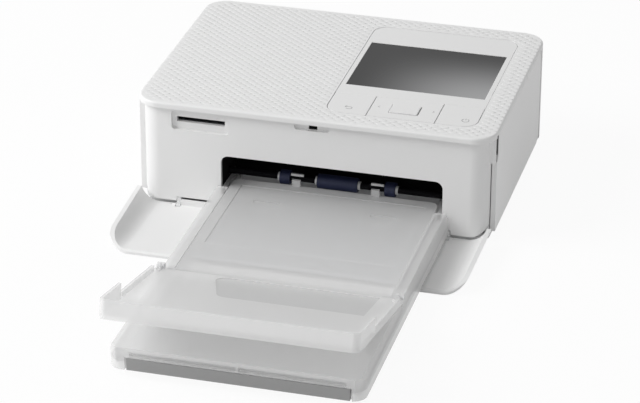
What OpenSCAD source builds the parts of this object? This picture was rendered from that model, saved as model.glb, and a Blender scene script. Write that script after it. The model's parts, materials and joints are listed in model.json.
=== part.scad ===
// Compact photo printer with its front cover open and the paper cassette in place.
// Millimetres, +Z up, the table at z = 0, the printer's front towards -Y.
// Sizes are given from the front edge of the top cover (y = 0) and the middle of the
// body (x = 0), and place() moves everything so that the part stands over its origin.

/* [Body] */
// Width of the printer body
body_w = 182.2; // [176:0.1:210]
// Depth of the printer body
body_d = 133; // [130:0.5:160]
// Height from the table to the top face
body_h = 58.6; // [58:0.1:70]
// Plan radius of the body's corners
corner_r = 12; // [9:0.5:15]
// Height of the top cover's rim
rim_t = 3.1; // [2.8:0.1:5]
// Rounding of the top cover's upper edge
edge_r = 1.2; // [0.8:0.1:1.6]
// Thickness of the top cover's plate
plate_t = 2.2; // [1.8:0.1:2.6]
// Thickness of the side and back casings
side_t = 2.8; // [2.6:0.1:3.2]
// Thickness of the front panel
panel_t = 2.3; // [1.8:0.1:2.6]
// How far the front panel sits inside the top cover's edge
panel_inset = 2.5; // [2.3:0.1:3.2]
// Thickness of the base floor
floor_t = 2; // [1.6:0.1:2.2]
// Height of the rubber feet
foot_h = 1.2; // [1:0.1:2]
// Distance from the front to the front edge of the side casings
side_front = 9.9; // [9:0.1:13]
// Height of the lower edge of the side casings
side_z = 5; // [4.9:0.1:7]

/* [Front] */
// Middle of the paper mouth, to the right of the body's middle
mouth_x = 9.5; // [6:0.5:11]
// Width of the paper mouth
mouth_w = 113; // [112.8:0.1:114]
// Height of the mouth's upper edge
mouth_z = 32; // [30:0.5:33]
// Height of the front panel's lower edge
panel_z = 4; // [3.8:0.1:5]
// Width of the memory card slot
card_w = 24.8; // [24.6:0.1:26]
// Height of the memory card slot
card_h = 2.8; // [2.4:0.1:3.2]
// Distance from the body's left side to the middle of the card slot
card_side = 33.5; // [32:0.1:36]
// Thickness of the front cover
cover_t = 2.1; // [1.8:0.1:2.3]
// Radius of the front cover's upper corners
cover_r = 13; // [10:0.5:18]
// Distance from the middle to the front cover's hinge lugs
lug_x = 69; // [68:0.1:71]

/* [Controls] */
// Distance from the body's right side to the control panel
ctrl_side = 11.7; // [9.5:0.1:12]
// Width of the control panel
ctrl_w = 76.4; // [75:0.1:80]
// Distance from the front to the control panel
ctrl_y = 12; // [10:0.5:15]
// Distance from the control panel to the back edge
ctrl_back = 12; // [10:0.5:15]
// Radius of the control panel's corners
ctrl_r = 8; // [5:0.5:9]
// Width of the screen
screen_w = 71; // [64:0.5:72]
// Depth of the screen
screen_d = 53.8; // [48:0.2:56]
// Distance from the front to the screen
screen_y = 46; // [44:0.5:50]
// Depth of the row of keys
key_d = 23.5; // [22.4:0.1:26]
// Width of the navigation pad
pad_w = 34.4; // [34:0.1:38]
// Width of the OK key
ok_w = 14.2; // [12:0.1:16]
// Depth of the OK key
ok_d = 10.1; // [8:0.1:11]

/* [Feed] */
// Radius of the feed rollers
feed_r = 3.6; // [3:0.1:3.8]
// Distance from the front to the feed shaft
feed_y = 17.5; // [17:0.1:18.5]
// Height of the feed shaft
feed_z = 17.1; // [16.9:0.1:18]
// Width of the middle feed roller
wide_w = 20.6; // [16:0.2:22]
// Width of each outer feed roller
narrow_w = 5.2; // [4:0.2:6]
// Distance of the outer feed rollers from the middle one
narrow_x = 27; // [26.5:0.1:28]
// Width of the photo paper
paper_w = 100; // [98:0.5:100.6]
// Module of the gears
gear_m = 0.6; // [0.58:0.01:0.62]
// Radius of the ribbon cassette's tubes
tube_r = 9.5; // [9:0.1:9.7]

/* [Paper cassette] */
// Width of the paper cassette
cas_w = 119.6; // [119:0.1:121]
// Length of the cassette in front of the printer
cas_l = 167.4; // [160:0.2:175]
// Length of the cassette's neck inside the printer
neck_l = 24.1; // [23.7:0.1:24.6]
// Height of the cassette's underside
cas_z = 4; // [3.9:0.1:4.2]
// Height of the cassette's body
cas_h = 11.4; // [11.2:0.1:11.6]
// Height of the dark lower tray
tray_h = 4.4; // [3.6:0.1:5]
// Length of the outer cover from its hinge
flap_l = 87.5; // [78:0.5:89]
// Height of the outer cover's rim
rim_h = 7.4; // [7:0.1:11]
// Angle at which the outer cover rests open
flap_tilt = 12.6; // [8:0.1:16]

/* [Hidden] */
$fn = 48;

// Clearances
gap = 0.3;      // between pieces that move past each other
run = 0.05;     // radial clearance of a running fit
fit = 0.02;     // radial clearance of a sleeve fixed on a shaft

// Levels of the body
side_x = body_w / 2;
rim_z = body_h - rim_t;
plate_z = body_h - plate_t;
base_top = foot_h + floor_t;
base_wall_z = base_top + 5.8;
base_front = panel_inset + panel_t + 0.2;
back_y = body_d - side_t;
back_start = body_d - corner_r - 0.8;
side_room = 4.3;    // between the casings and what stands beside the chassis
card_x = side_x - card_side;
ctrl_x = side_x - ctrl_side - ctrl_w / 2;
ctrl_d = body_d - ctrl_y - ctrl_back;
main_z = rim_z - 4.7;

// Front cover, drawn closed and turned down about its hinge
cover_hinge_y = 1.3;
cover_hinge_z = cover_hinge_y + 0.4;
cover_low = 0.5;
cover_top = rim_z - gap;
wing_high = 7.8;     // depth of the open cover's upturned sides near their ends
side_top = body_h - 1.8;
notch_low = rim_z - 12.6;
knuckle_h = 2.4;
cover_pin_r = 0.8;
ear_r = cover_hinge_y;
lug_t = 2.2;
notch_h = 2.2;

// Side door
door_pin_r = 0.9;
door_edge_r = 1.8;
door_hinge_x = side_x - door_edge_r;
door_hinge_y = back_start - gap - door_edge_r;

// Control panel
shelf_t = 1.2;
shelf_z = plate_z - shelf_t;
ctrl_top = body_h - 0.15;
key_gap = 0.35;
key_z = plate_z + 0.6;
key_stem_r = 1.5;
board_z = shelf_z - 4.4;
board_t = 1.2;
switch_h = 0.6;
stem_z = board_z + board_t + switch_h + 0.4;
key_y1 = ctrl_y + key_d;
pad_x0 = ctrl_x - pad_w / 2 + 0.35;
pad_x1 = pad_x0 + pad_w;
pad_cx = (pad_x0 + pad_x1) / 2;
pad_cy = ctrl_y + key_d / 2;
rocker_z = shelf_z - 0.3;
trunnion_r = 0.7;

// Chassis
frame_half = 63.5;
frame_t = 1;
frame_l = mouth_x - frame_half;
frame_r = mouth_x + frame_half;
frame_top = rim_z - 6;
frame_front = feed_y - 4.7;
frame_back = body_d - 21;
gear_x = frame_l - 8;
gear_w = 4;
path_z = feed_z + 4.9;
capstan_r = 2.6;
capstan_y = feed_y + 26.5;
capstan_z = path_z - 0.1 - capstan_r;
pinch_r = 2.4;
pinch_z = path_z + 0.1 + pinch_r;
platen_r = 5;
platen_y = capstan_y + 28;
platen_z = path_z - 0.1 - platen_r;
shaft_r = 1.6;
axle_r = 2;
roller_half = 52;

// Gears: teeth, then places worked out from their pitch radii
capstan_n = 40;
take_up_n = 30;
pinion_n = 12;
idler_n = 20;
pickup_n = 24;
function pitch_r(n) = n * gear_m / 2;
take_up_angle = 48;
take_up_y = capstan_y + (pitch_r(capstan_n) + pitch_r(take_up_n)) * cos(take_up_angle);
take_up_z = capstan_z + (pitch_r(capstan_n) + pitch_r(take_up_n)) * sin(take_up_angle);
pinion_angle = -20;
pinion_y = capstan_y + (pitch_r(capstan_n) + pitch_r(pinion_n)) * cos(pinion_angle);
pinion_z = capstan_z + (pitch_r(capstan_n) + pitch_r(pinion_n)) * sin(pinion_angle);
train_d = norm([feed_y - capstan_y, feed_z - capstan_z]);
train_a = atan2(feed_z - capstan_z, feed_y - capstan_y);
idler_a = pitch_r(capstan_n) + pitch_r(idler_n);
idler_b = pitch_r(idler_n) + pitch_r(pickup_n);
idler_turn = acos((idler_a * idler_a + train_d * train_d - idler_b * idler_b)
    / (2 * idler_a * train_d));
idler_angle = train_a - idler_turn;
idler_y = capstan_y + idler_a * cos(idler_angle);
idler_z = capstan_z + idler_a * sin(idler_angle);
pickup_angle = atan2(feed_z - idler_z, feed_y - idler_y);
// Turn of a driven gear that puts its gap on the driver's tooth
function mesh_turn(turn, n_driver, n_driven, angle) =
    angle + 180 - (turn - angle) * n_driver / n_driven + 180 / n_driven;
take_up_turn = mesh_turn(0, capstan_n, take_up_n, take_up_angle);
pinion_turn = mesh_turn(0, capstan_n, pinion_n, pinion_angle);
idler_gear_turn = mesh_turn(0, capstan_n, idler_n, idler_angle);
pickup_turn = mesh_turn(idler_gear_turn, idler_n, pickup_n, pickup_angle);

// Ribbon cassette and head
supply_y = take_up_y + 30;
tube_x0 = mouth_x - 58.5;
tube_x1 = mouth_x + 60.5;
tube_wall = 1.1;
link_z = path_z + 1.4;
link_h = 2.3;
film_z = path_z + 2.9;
head_z = path_z + 4;
head_y0 = platen_y - 3;
head_y1 = platen_y + 5.3;
head_pivot_y = platen_y + 34;
head_pivot_z = path_z + 10;
arm_top = main_z - 2.8;

// Paper cassette
cas_half = cas_w / 2;
neck_half = mouth_w / 2 - 0.5;
cas_back = panel_inset - 0.6;
cas_front = cas_back - cas_l;
cas_rear = cas_back + neck_l;
cas_top = cas_z + cas_h;
tray_top = cas_z + tray_h;
cas_floor_t = 1.6;
cas_wall = 2;
cas_r = 6.5;
cas_floor = cas_z + cas_floor_t;
well_half = paper_w / 2 + 1.2;
inner_half = well_half + 1.3;
inner_z0 = cas_top - 2.2;
inner_z1 = cas_top - 0.4;
inner_y1 = feed_y - feed_r - 0.8;
inner_hinge_y = -83.5;
inner_hinge_z = inner_z0 + 0.2;
inner_y0 = inner_hinge_y - 2.5;
inner_pin_r = 0.9;
flap_hinge_y = inner_hinge_y - 7;
flap_hinge_z = cas_top + 2.3;
flap_half = cas_half + 0.2;
flap_wall = 1.5;
knuckle_x = cas_half - 2.8;
knuckle_t = 1.6;
front_shift = 1.3;  // the front bar and slots sit off the middle
flap_floor = 1.6;
flap_low = -1.8;
flap_ear_r = 1.9;
flap_pin_r = 1;
bar_h = 6.1;
bar_half = paper_w / 2 + 2.1;
lift_hinge_y = -58;
lift_hinge_z = cas_floor + 1.5;
lift_t = 1;

// The part's origin lies under the middle of its whole length
flap_tip_y = flap_hinge_y - flap_l * cos(flap_tilt) + flap_low * sin(flap_tilt);
mid_y = (flap_tip_y + body_d) / 2;

white = [0.93, 0.93, 0.92];
black = [0.05, 0.05, 0.06];
steel = [0.7, 0.71, 0.73];
frosted = [0.8, 0.81, 0.82];

module place() {
    translate([0, -mid_y, 0]) children();
}

// Rectangle with round corners, drawn about its middle
module round_rect(w, d, r) {
    square([w - 2 * r, d], center = true);
    square([w, d - 2 * r], center = true);
    for (x = [-1, 1], y = [-1, 1])
        translate([x * (w / 2 - r), y * (d / 2 - r)]) circle(r);
}

// Plan of the body, drawn in by an inset
module outline(inset = 0) {
    translate([0, body_d / 2])
        round_rect(body_w - 2 * inset, body_d - 2 * inset, corner_r - inset);
}

module slab(z0, z1) {
    translate([0, 0, z0]) linear_extrude(z1 - z0) children();
}

module block(x0, x1, y0, y1, z0, z1) {
    translate([x0, y0, z0]) cube([x1 - x0, y1 - y0, z1 - z0]);
}

// Front view (x, z) carried from y0 to y1
module front_view(y0, y1) {
    translate([0, y1, 0]) rotate([90, 0, 0]) linear_extrude(y1 - y0) children();
}

// Side view (y, z) carried from x0 to x1
module side_view(x0, x1) {
    translate([x0, 0, 0]) rotate([90, 0, 90]) linear_extrude(x1 - x0) children();
}

module rod(x0, x1, y, z, r) {
    translate([x0, y, z]) rotate([0, 90, 0]) cylinder(h = x1 - x0, r = r);
}

module post(x, y, z0, z1, r) {
    translate([x, y, z0]) cylinder(h = z1 - z0, r = r);
}

module both_sides() {
    children();
    mirror([1, 0, 0]) children();
}

// Spur gear about the X axis, with straight-sided teeth
module spur(n, turn, x0, w, y, z, bore) {
    tooth = 0.4 * PI * gear_m;
    tip = pitch_r(n) + 0.8 * gear_m;
    root = pitch_r(n) - 1.15 * gear_m;
    translate([x0, y, z]) rotate([90, 0, 90]) rotate([0, 0, turn])
        linear_extrude(w) difference() {
            union() {
                circle(root);
                for (i = [0 : n - 1]) rotate(i * 360 / n)
                    polygon([[root - 0.4, -tooth * 0.75], [pitch_r(n), -tooth / 2],
                        [tip, -tooth * 0.22], [tip, tooth * 0.22],
                        [pitch_r(n), tooth / 2], [root - 0.4, tooth * 0.75]]);
            }
            circle(bore);
        }
}

// Posts that join the base to the top cover, and their screws
case_posts = [[9.1 - side_x, 20], [9.1 - side_x, body_d - 23], [side_x - 9.5, 8.8],
    [side_x - 9.1, body_d - 12]];
post_r = 2.4;
screw_r = 1.1;
post_joint_z = 28;

// The body's outline from rim_z to the top, with a rounded upper edge
module rounded_lid(r) {
    z = body_h - r;
    slab(rim_z, z) outline();
    slab(z - 0.01, body_h) outline(r);
    for (x = [-1, 1], y = [0, 1])
        translate([x * (side_x - corner_r), corner_r + y * (body_d - 2 * corner_r), z])
            rotate_extrude() {
                square([corner_r - r, r]);
                intersection() {
                    translate([corner_r - r, 0]) circle(r);
                    square([corner_r, r]);
                }
            }
    intersection() {
        union() {
            for (y = [r, body_d - r]) rod(corner_r - side_x, side_x - corner_r, y, z, r);
            for (x = [r - side_x, side_x - r]) translate([x, corner_r, z]) rotate([-90, 0, 0])
                cylinder(h = body_d - 2 * corner_r, r = r);
        }
        slab(z - 0.01, body_h) outline();
    }
}

module top_cover() {
    rim_w = 3;
    color(white) difference() {
        union() {
            difference() {
                rounded_lid(edge_r);
                slab(rim_z - 1, plate_z) outline(rim_w);
            }
            for (p = case_posts) post(p[0], p[1], post_joint_z, plate_z + 0.5, post_r);
            for (p = board_bosses) post(p[0], p[1], main_z + board_t, plate_z + 0.5, 2.2);
        }
        slab(rim_z - 1, body_h + 1) translate([ctrl_x, ctrl_y + ctrl_d / 2])
            round_rect(ctrl_w, ctrl_d, ctrl_r);
        for (p = case_posts) post(p[0], p[1], post_joint_z - 1, post_joint_z + 9, screw_r + fit);
        post(door_hinge_x, door_hinge_y, rim_z - 1, plate_z + 1.2, door_pin_r + fit);
        block(side_x - rim_w - 0.1, side_x + 1, side_front, door_hinge_y - 2.4,
            rim_z - 1, side_top);
        block(-side_x - 1, rim_w + 0.1 - side_x, side_front, back_start,
            rim_z - 1, side_top);
    }
}

module key_row(inset) {
    intersection() {
        translate([ctrl_x, ctrl_y + ctrl_d / 2])
            round_rect(ctrl_w - 2 * inset, ctrl_d - 2 * inset, ctrl_r - inset);
        translate([ctrl_x - ctrl_w, 0]) square([2 * ctrl_w, key_y1 - 0.15]);
    }
}

module control_panel() {
    flange = 1;
    ledge = 1;
    ear_x = 16.2;
    color(white) difference() {
        union() {
            slab(shelf_z, plate_z) translate([ctrl_x, ctrl_y + ctrl_d / 2])
                round_rect(ctrl_w + 2 * flange, ctrl_d + 2 * flange, ctrl_r + flange);
            difference() {
                slab(plate_z - 0.01, ctrl_top) translate([ctrl_x, ctrl_y + ctrl_d / 2])
                    round_rect(ctrl_w - 0.4, ctrl_d - 0.4, ctrl_r - 0.2);
                block(ctrl_x - ctrl_w, ctrl_x + ctrl_w, 0, key_y1 + 0.15, plate_z, body_h + 1);
            }
            for (x = [ctrl_x - ctrl_w / 2 + 4, ctrl_x + ctrl_w / 2 - 4])
                post(x, pad_cy, board_z + board_t, shelf_z + 0.5, 2);
            for (s = [-1, 1])
                block(pad_cx + s * ear_x - 0.9, pad_cx + s * ear_x + 0.9, pad_cy - 1.7,
                    pad_cy + 1.7, rocker_z - 1.8, shelf_z + 0.5);
        }
        slab(plate_z, body_h + 1) screen_rect(0);
        slab(shelf_z - 1, body_h) screen_rect(ledge);
        block(pad_cx - ear_x + 0.9, pad_cx + ear_x - 0.9, pad_cy - 11, pad_cy + 11,
            shelf_z - 1, plate_z + 1);
        for (x = key_stems) post(x, pad_cy, shelf_z - 1, plate_z + 1, key_stem_r + run);
        rod(pad_cx - ear_x - 1, pad_cx + ear_x + 1, pad_cy, rocker_z, trunnion_r + run);
    }
}

module screen_rect(inset) {
    translate([ctrl_x, screen_y + screen_d / 2])
        square([screen_w - 2 * inset, screen_d - 2 * inset], center = true);
}

key_stems = [(ctrl_x - ctrl_w / 2 + pad_x0) / 2 + 2, (ctrl_x + ctrl_w / 2 + pad_x1) / 2 - 2];

// Front panel: a wall that follows the body's corners, with the mouth and the slots
module panel_elevation() {
    r = 8;
    half = side_x - panel_inset;
    translate([-half, panel_z + r]) square([2 * half, rim_z - panel_z - r]);
    translate([-half + r, panel_z]) square([2 * (half - r), r + 1]);
    for (s = [-1, 1]) translate([s * (half - r), panel_z + r]) circle(r);
}

module mouth_shape() {
    r = 4;
    translate([mouth_x - mouth_w / 2, 0]) square([mouth_w, mouth_z - r]);
    translate([mouth_x - mouth_w / 2 + r, 0]) square([mouth_w - 2 * r, mouth_z]);
    for (s = [-1, 1]) translate([mouth_x + s * (mouth_w / 2 - r), mouth_z - r]) circle(r);
}

slot_z = rim_z - 6.9;
recess_y = panel_inset + 2;
latch_z = rim_z - 2.75;

module front_panel() {
    end_y = side_front - 0.4;
    shoulder_y = side_front - 1;
    arc_z = cover_top - cover_r;
    pocket_w = card_w + 4.6;
    pocket_h = card_h + 7.6;
    notch_half = lug_x + lug_t / 2 + 0.3;
    color(white) difference() {
        union() {
            intersection() {
                slab(panel_z, rim_z) difference() {
                    outline(panel_inset);
                    outline(panel_inset + panel_t);
                }
                front_view(0, end_y) panel_elevation();
            }
            intersection() {
                slab(base_wall_z + gap, notch_low - 1) difference() {
                    outline(panel_inset + 0.4);
                    outline(panel_inset + panel_t);
                }
                front_view(end_y - 1, side_front + 1.2) panel_elevation();
            }
            intersection() {
                slab(arc_z + 0.4, rim_z) difference() {
                    outline(0);
                    outline(panel_inset + 0.5);
                }
                block(-side_x, side_x, wing_high + gap, shoulder_y, 0, body_h);
            }
            block(-card_x - pocket_w / 2 - 1.5, -card_x + pocket_w / 2 + 1.5,
                panel_inset + 1, recess_y + 2, slot_z - pocket_h / 2 - 1.5, rim_z);
        }
        front_view(-1, body_d) mouth_shape();
        block(-notch_half, notch_half, -1, base_front, 0, panel_z + notch_h);
        front_view(0, recess_y) translate([-card_x, slot_z])
            round_rect(pocket_w, pocket_h, 2);
        block(-card_x - card_w / 2, -card_x + card_w / 2, 0, recess_y + 3,
            slot_z - card_h / 2, slot_z + card_h / 2);
        front_view(0, panel_inset + 1.5) translate([-0.45, latch_z])
            round_rect(17.7, 3.1, 1.5);
        block(-2.2, 2.2, 0, panel_inset + panel_t + 1, latch_z - 1.3, latch_z + 1.3);
    }
}

module left_side_panel() {
    color(white) block(-side_x, -side_x + side_t, side_front, back_start,
        side_z, side_top);
}

slit_low = path_z - 2.6;
slit_high = path_z + 3;
slit_half = paper_w / 2 + 2;
main_x0 = side_t + 3 - side_x;
main_x1 = ctrl_x - ctrl_w / 2 - 7;
jack_x = main_x1 - 11.5;
port_x = main_x1 - 30;
fan_x = 28.1 - side_x;
fan_z = 27;
fan_size = 30;
fan_bore = 13.5;
main_back = body_d - 15;
board_bosses = [[main_x0 + 13.3, 60], [main_x1 - 10, 24], [main_x1 - 10, main_back - 10]];

module back_panel() {
    color(white) difference() {
        intersection() {
            slab(side_z, rim_z) difference() {
                outline();
                outline(side_t);
            }
            block(-side_x, side_x, back_start, body_d + 1, 0, body_h);
        }
        block(mouth_x - slit_half, mouth_x + slit_half, back_y - 1, body_d + 1,
            slit_low, slit_high);
        block(jack_x - 5, jack_x + 5, back_y - 1, body_d + 1, main_z - 11.6, main_z - 1.6);
        block(port_x - 4.4, port_x + 4.4, back_y - 1, body_d + 1, main_z - 5.2, main_z - 0.6);
        for (i = [-4 : 4]) block(fan_x + i * 2.8 - 0.7, fan_x + i * 2.8 + 0.7,
            back_y - 1, body_d + 1, fan_z - 11, fan_z + 11);
    }
}

module base_tray() {
    rib_h = cas_z - base_top - gap;
    color([0.86, 0.87, 0.87]) difference() {
        union() {
            intersection() {
                union() {
                    slab(foot_h, base_top) outline(side_t);
                    slab(foot_h, base_wall_z) difference() {
                        outline(side_t);
                        outline(side_t + 2);
                        translate([-side_x, 0]) square([body_w, side_front]);
                    }
                }
                block(-side_x, side_x, base_front, body_d, 0, body_h);
            }
            for (s = [-1, 1]) block(mouth_x + s * 54 - 1, mouth_x + s * 54 + 1,
                base_front, cas_rear, base_top - 0.01, base_top + rib_h);
            for (p = case_posts) post(p[0], p[1], base_top - 0.01, post_joint_z, post_r + 0.4);
            both_sides() {
                side_view(lug_x - lug_t / 2, lug_x + lug_t / 2) cover_lug();
            }
            block(door_hinge_x - 3, side_x - side_t, door_hinge_y - 2.2, door_hinge_y + 1.7,
                foot_h, side_z + 0.5);
            block(door_hinge_x - 3, side_x - 0.3, door_hinge_y - 2.2, door_hinge_y + 1.7,
                side_z, side_z + knuckle_h);
        }
        for (p = case_posts) {
            post(p[0], p[1], 0, post_joint_z + 1, screw_r + 0.15);
            post(p[0], p[1], 0, foot_h + 1.4, 2.4);
        }
        post(door_hinge_x, door_hinge_y, side_z + knuckle_h, body_h, door_edge_r + 0.5);
        post(door_hinge_x, door_hinge_y, side_z + 0.4, body_h, door_pin_r + fit);
        rod(-side_x, side_x, cover_hinge_y, cover_hinge_z, cover_pin_r + fit);
    }
}

module cover_lug() {
    translate([cover_hinge_y, cover_hinge_z]) circle(ear_r);
    translate([cover_hinge_y, foot_h]) square([base_front, cas_z - gap - foot_h]);
    translate([panel_inset - 0.2, foot_h])
        square([base_front - panel_inset + 1, panel_z + notch_h - gap - foot_h]);
    translate([base_front, foot_h]) square([3, base_top - foot_h + 2]);
}

module ink_door() {
    barrel = 8;
    nail_y = side_front + 2.7;    // end of the fingernail notch
    z1 = rim_z - gap;
    color(white) difference() {
        union() {
            block(side_x - side_t + gap, side_x, side_front, door_hinge_y, side_z, z1);
            block(side_x - side_t + gap, side_x, side_front, door_hinge_y - 3.3,
                z1 - 0.01, side_top - 0.2);
            post(door_hinge_x, door_hinge_y, side_z, z1, door_edge_r);
            block(side_x - side_t - 0.9, side_x - side_t + 1, side_front + 4,
                side_front + 5.5, side_z + 6, notch_low - 2);
        }
        intersection() {
            slab(notch_low, body_h) polygon([[side_x + 1, 0], [side_x + 1, nail_y],
                [side_x - 0.3, nail_y], [side_x - side_t + 0.2, nail_y + 4],
                [side_x - side_t - 1, nail_y + 4], [side_x - side_t - 1, 0]]);
            side_view(0, side_x + 1) union() {
                translate([0, notch_low + 2.5]) square([nail_y + 5, body_h]);
                translate([0, notch_low]) square([nail_y - 2.5, 3]);
                translate([nail_y - 2.5, notch_low + 2.5]) circle(2.5);
            }
        }
        block(door_hinge_x - 4, side_x + 1, door_hinge_y - 3, door_hinge_y + 3,
            0, side_z + knuckle_h + gap);
        post(door_hinge_x, door_hinge_y, side_z - 1, side_z + knuckle_h + barrel,
            door_pin_r + run);
        post(door_hinge_x, door_hinge_y, z1 - barrel, z1 + 1, door_pin_r + run);
    }
}

module ink_door_pins() {
    color(steel) {
        post(door_hinge_x, door_hinge_y, side_z + 0.45, side_z + knuckle_h + 7, door_pin_r);
        post(door_hinge_x, door_hinge_y, rim_z - 7, plate_z + 1.1, door_pin_r);
    }
}

// Front view of the closed front cover
module cover_elevation() {
    arc_x = side_x - cover_r;
    arc_z = cover_top - cover_r;
    translate([-side_x, cover_low]) square([2 * side_x, arc_z - cover_low]);
    translate([-arc_x, cover_low]) square([2 * arc_x, cover_top - cover_low]);
    for (s = [-1, 1]) translate([s * arc_x, arc_z]) circle(cover_r);
}

module front_cover() {
    wing_low = side_front - 0.4;
    wing_r = 20;
    ear_x = lug_x + lug_t / 2 + gap;
    color(white)
    translate([0, cover_hinge_y, cover_hinge_z]) rotate([90, 0, 0])
    translate([0, -cover_hinge_y, -cover_hinge_z])
    difference() {
        union() {
            intersection() {
                slab(cover_low, cover_top) difference() {
                    outline();
                    outline(cover_t);
                }
                front_view(0, body_d / 2) cover_elevation();
                side_view(-side_x, side_x) polygon(concat([[0, 0], [wing_low, 0]],
                    [for (t = [0 : 3 : 48]) [wing_high - wing_r * (1 - cos(t)),
                        cover_top - cover_r - 2 + wing_r * sin(t)]],
                    [[wing_high - wing_r * (1 - cos(48)), body_h], [0, body_h]]));
            }
            both_sides() rod(ear_x, ear_x + 2, cover_hinge_y, cover_hinge_z, ear_r);
            block(-1.8, 1.8, cover_t - 0.5, cover_t + 0.5, latch_z - 1, latch_z + 1);
            block(-lug_x + 1.5, -lug_x + 17.5, cover_t - 0.5, base_front - 0.2,
                cover_low, cover_low + 1.6);
        }
        both_sides() {
            block(lug_x - lug_t / 2 - gap, ear_x, -1, 4, 0, cas_z + 0.1);
            rod(ear_x - 1, ear_x + 2.5, cover_hinge_y, cover_hinge_z, cover_pin_r + run);
        }
    }
}

module front_cover_pins() {
    color(steel) both_sides()
        rod(lug_x - lug_t / 2 + 0.1, lug_x + lug_t / 2 + gap + 1.9, cover_hinge_y,
            cover_hinge_z, cover_pin_r);
}

module rubber_feet() {
    color([0.15, 0.15, 0.16]) for (x = [-72, 72], y = [18, body_d - 16])
        post(x, y, 0, foot_h, 5);
}

module case_screws() {
    color(steel) for (p = case_posts) difference() {
        union() {
            post(p[0], p[1], foot_h, foot_h + 1.4, 2.2);
            post(p[0], p[1], foot_h + 1, post_joint_z + 8.5, screw_r);
        }
        block(p[0] - 1.5, p[0] + 1.5, p[1] - 0.3, p[1] + 0.3, 0, foot_h + 0.6);
        block(p[0] - 0.3, p[0] + 0.3, p[1] - 1.5, p[1] + 1.5, 0, foot_h + 0.6);
    }
}

module screen_window() {
    color([0.3, 0.31, 0.33]) slab(plate_z, ctrl_top - 0.3) screen_rect(0.1);
}

module lcd_module() {
    color([0.2, 0.2, 0.22]) slab(shelf_z - 3.6, shelf_z) screen_rect(-2.2);
}

module menu_key() {
    color(white) {
        slab(key_z, body_h) intersection() {
            key_row(key_gap);
            translate([0, 0]) square([pad_x0 - key_gap / 2, body_d]);
        }
        post(key_stems[0], pad_cy, stem_z, key_z + 0.5, key_stem_r);
    }
}

module power_key() {
    color(white) {
        slab(key_z, body_h) intersection() {
            key_row(key_gap);
            translate([pad_x1 + key_gap / 2, 0]) square([side_x, body_d]);
        }
        post(key_stems[1], pad_cy, stem_z, key_z + 0.5, key_stem_r);
    }
}

module ok_key() {
    color(white) {
        slab(key_z, body_h + 0.5) translate([pad_cx, pad_cy]) round_rect(ok_w, ok_d, 0.8);
        post(pad_cx, pad_cy, stem_z, key_z + 0.5, key_stem_r);
    }
}

module navigation_pad() {
    color(white) difference() {
        union() {
            slab(key_z, body_h) intersection() {
                key_row(key_gap);
                translate([pad_x0 + key_gap / 2, 0]) square([pad_w - key_gap, body_d]);
            }
            for (s = [-1, 1]) {
                block(pad_cx - 1.6, pad_cx + 1.6, pad_cy + s * 9.7 - 0.8, pad_cy + s * 9.7 + 0.8,
                    rocker_z - 1.2, key_z + 0.5);
                post(pad_cx + s * 13, pad_cy + 9.8, stem_z + 0.4, key_z + 0.5, 0.9);
            }
        }
        slab(key_z - 1, body_h + 1) translate([pad_cx, pad_cy])
            round_rect(ok_w + 2 * key_gap, ok_d + 2 * key_gap, 1.1);
        translate([pad_cx, pad_cy - 20, rocker_z]) rotate([-90, 0, 0])
            cylinder(h = 40, r = trunnion_r + run);
    }
}

module navigation_rocker() {
    color([0.3, 0.3, 0.32]) {
        difference() {
            slab(rocker_z - 0.7, rocker_z + 0.7) translate([pad_cx, pad_cy])
                square([28, 17.2], center = true);
            slab(rocker_z - 2, rocker_z + 2) translate([pad_cx, pad_cy])
                square([20, 11.2], center = true);
        }
        for (s = [-1, 1]) {
            rod(pad_cx + s * 15.4 - 1.6, pad_cx + s * 15.4 + 1.6, pad_cy, rocker_z, trunnion_r);
            translate([pad_cx, pad_cy + s * 9.4 - 1, rocker_z]) rotate([-90, 0, 0])
                cylinder(h = 2, r = trunnion_r);
            post(pad_cx, pad_cy + s * 7.1, stem_z + 0.1, rocker_z, 0.8);
        }
    }
}

module key_board() {
    color([0.1, 0.35, 0.2]) {
        block(ctrl_x - ctrl_w / 2 + 1.5, ctrl_x + ctrl_w / 2 - 1.5, ctrl_y + 0.5, key_y1 - 0.2,
            board_z, board_z + board_t);
        for (p = concat([for (x = key_stems) [x, pad_cy]], [[pad_cx, pad_cy],
            [pad_cx, pad_cy - 7.1], [pad_cx, pad_cy + 7.1],
            [pad_cx - 13, pad_cy + 9.8], [pad_cx + 13, pad_cy + 9.8]]))
            block(p[0] - 1.7, p[0] + 1.7, p[1] - 1.5, p[1] + 1.5, board_z + board_t - 0.01,
                board_z + board_t + switch_h);
    }
}

// Side view of a chassis plate
module frame_profile() {
    polygon([[frame_front, base_top], [frame_back, base_top], [frame_back, frame_top],
        [capstan_y - 4, frame_top], [capstan_y - 4, rim_z - 12], [28, 34], [frame_front, 34]]);
}

module axle_hole(y, z, r) {
    translate([y, z]) circle(r);
}

module frame_holes() {
    axle_hole(feed_y, feed_z, shaft_r + run);
    axle_hole(capstan_y, capstan_z, axle_r + run);
    axle_hole(capstan_y, pinch_z, 1.5 + run);
    axle_hole(platen_y, platen_z, axle_r + run);
    axle_hole(head_pivot_y, head_pivot_z, axle_r + fit);
}

module left_frame() {
    color(steel) {
        side_view(frame_l - frame_t, frame_l) difference() {
            frame_profile();
            frame_holes();
            axle_hole(take_up_y, take_up_z, 3 + run);
        }
        difference() {
            rod(gear_x - 0.6, frame_l - 0.5, idler_y, idler_z, 1.5);
            rod(gear_x - 1, gear_x, idler_y, idler_z, 0.5);
        }
    }
}

module right_frame() {
    window_low = link_z - gap;
    color(steel) side_view(frame_r, frame_r + frame_t) difference() {
        frame_profile();
        frame_holes();
        translate([take_up_y - tube_r - 1, window_low])
            square([30 + 2 * tube_r + 2, take_up_z + tube_r + 1.5 - window_low]);
    }
}

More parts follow.
